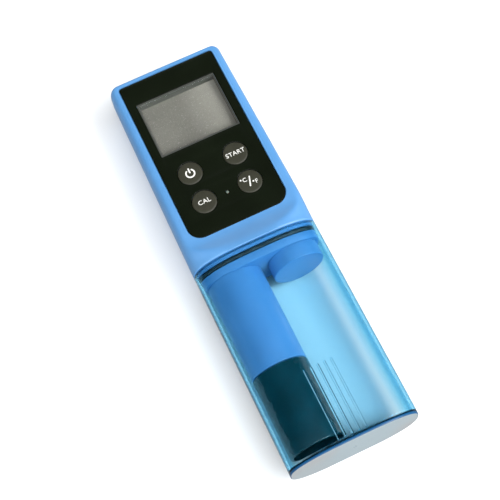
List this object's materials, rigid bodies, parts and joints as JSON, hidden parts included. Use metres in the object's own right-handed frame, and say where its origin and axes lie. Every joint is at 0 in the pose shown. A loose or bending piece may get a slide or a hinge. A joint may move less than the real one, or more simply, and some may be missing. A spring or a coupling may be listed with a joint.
{
  "type": "digital ph meter",
  "caption": "Hand-held digital pH meter with a display, round keys, a sensor probe with guard and a clear pull-off storage cup.",
  "frame": {"origin": "centre of the flat back, halfway along and halfway across, where the meter rests on a table", "axes": "+X to the right of the display, +Y along the meter towards the head, +Z out of the display"},
  "size_m": [0.052, 0.174, 0.026],
  "materials": {
    "blue_abs": "moulded ABS, satin gloss",
    "black_panel": "printed overlay film, satin gloss",
    "clear_lens": "clear acrylic",
    "grey_frame": "moulded ABS, matte",
    "lcd": "liquid-crystal glass, blank",
    "grey_key": "moulded key caps, fine matte",
    "clear_cup": "clear tinted polycarbonate, polished",
    "black_rubber": "nitrile rubber",
    "black_abs": "moulded ABS, satin",
    "white_abs": "moulded, natural white",
    "board": "glass-epoxy board, green solder mask",
    "steel": "plated steel",
    "cell": "plain sleeved dry cell",
    "electrode_glass": "blown electrode glass"
  },
  "bodies": {
    "body": {"front_shell": "blue_abs", "back_shell": "blue_abs", "neck_collar": "blue_abs", "probe_barrel": "blue_abs", "stub_housing": "blue_abs", "panel_overlay": "black_panel", "display_lens": "clear_lens", "light_pipe": "clear_lens", "lcd_frame": "grey_frame", "lcd_glass": "lcd", "lcd_connector": "black_rubber", "switch_power": "steel", "switch_start": "steel", "switch_cal": "steel", "switch_unit": "steel", "circuit_board": "board", "status_led": "white_abs", "battery_tray": "black_abs", "battery_left": "cell", "battery_right": "cell", "battery_spring_left": "steel", "battery_spring_right": "steel", "contact_left": "steel", "contact_right": "steel", "case_screw_1": "steel", "case_screw_2": "steel", "case_screw_3": "steel", "case_screw_4": "steel", "cup_seal": "black_rubber", "probe_seal": "black_rubber", "stub_seal": "black_rubber", "probe_nut": "white_abs", "stub_nut": "white_abs", "thermistor": "black_abs", "thermistor_lead": "black_rubber", "probe_lead": "black_rubber", "electrode_holder": "black_abs", "reference_junction": "white_abs", "electrode_glass": "electrode_glass", "sensor_guard": "black_abs"},
    "cup": {"cup": "clear_cup"},
    "battery_door": {"battery_door": "blue_abs"},
    "power_key": {"button_power": "grey_key"},
    "start_key": {"button_start": "grey_key"},
    "cal_key": {"button_cal": "grey_key"},
    "unit_key": {"button_unit": "grey_key"}
  },
  "joints": [
    {"name": "cup_pull", "type": "slide", "parent": "body", "child": "cup", "axis": [0, -1, 0], "range_m": [0, 0.095]},
    {"name": "door_slide", "type": "slide", "parent": "body", "child": "battery_door", "axis": [0, 1, 0], "range_m": [0, 0.067]},
    {"name": "power_press", "type": "slide", "parent": "body", "child": "power_key", "axis": [0, 0, -1], "range_m": [0, 0.00045], "stiffness_N_per_m": 1500},
    {"name": "start_press", "type": "slide", "parent": "body", "child": "start_key", "axis": [0, 0, -1], "range_m": [0, 0.00045], "stiffness_N_per_m": 1500},
    {"name": "cal_press", "type": "slide", "parent": "body", "child": "cal_key", "axis": [0, 0, -1], "range_m": [0, 0.00045], "stiffness_N_per_m": 1500},
    {"name": "unit_press", "type": "slide", "parent": "body", "child": "unit_key", "axis": [0, 0, -1], "range_m": [0, 0.00045], "stiffness_N_per_m": 1500}
  ]
}
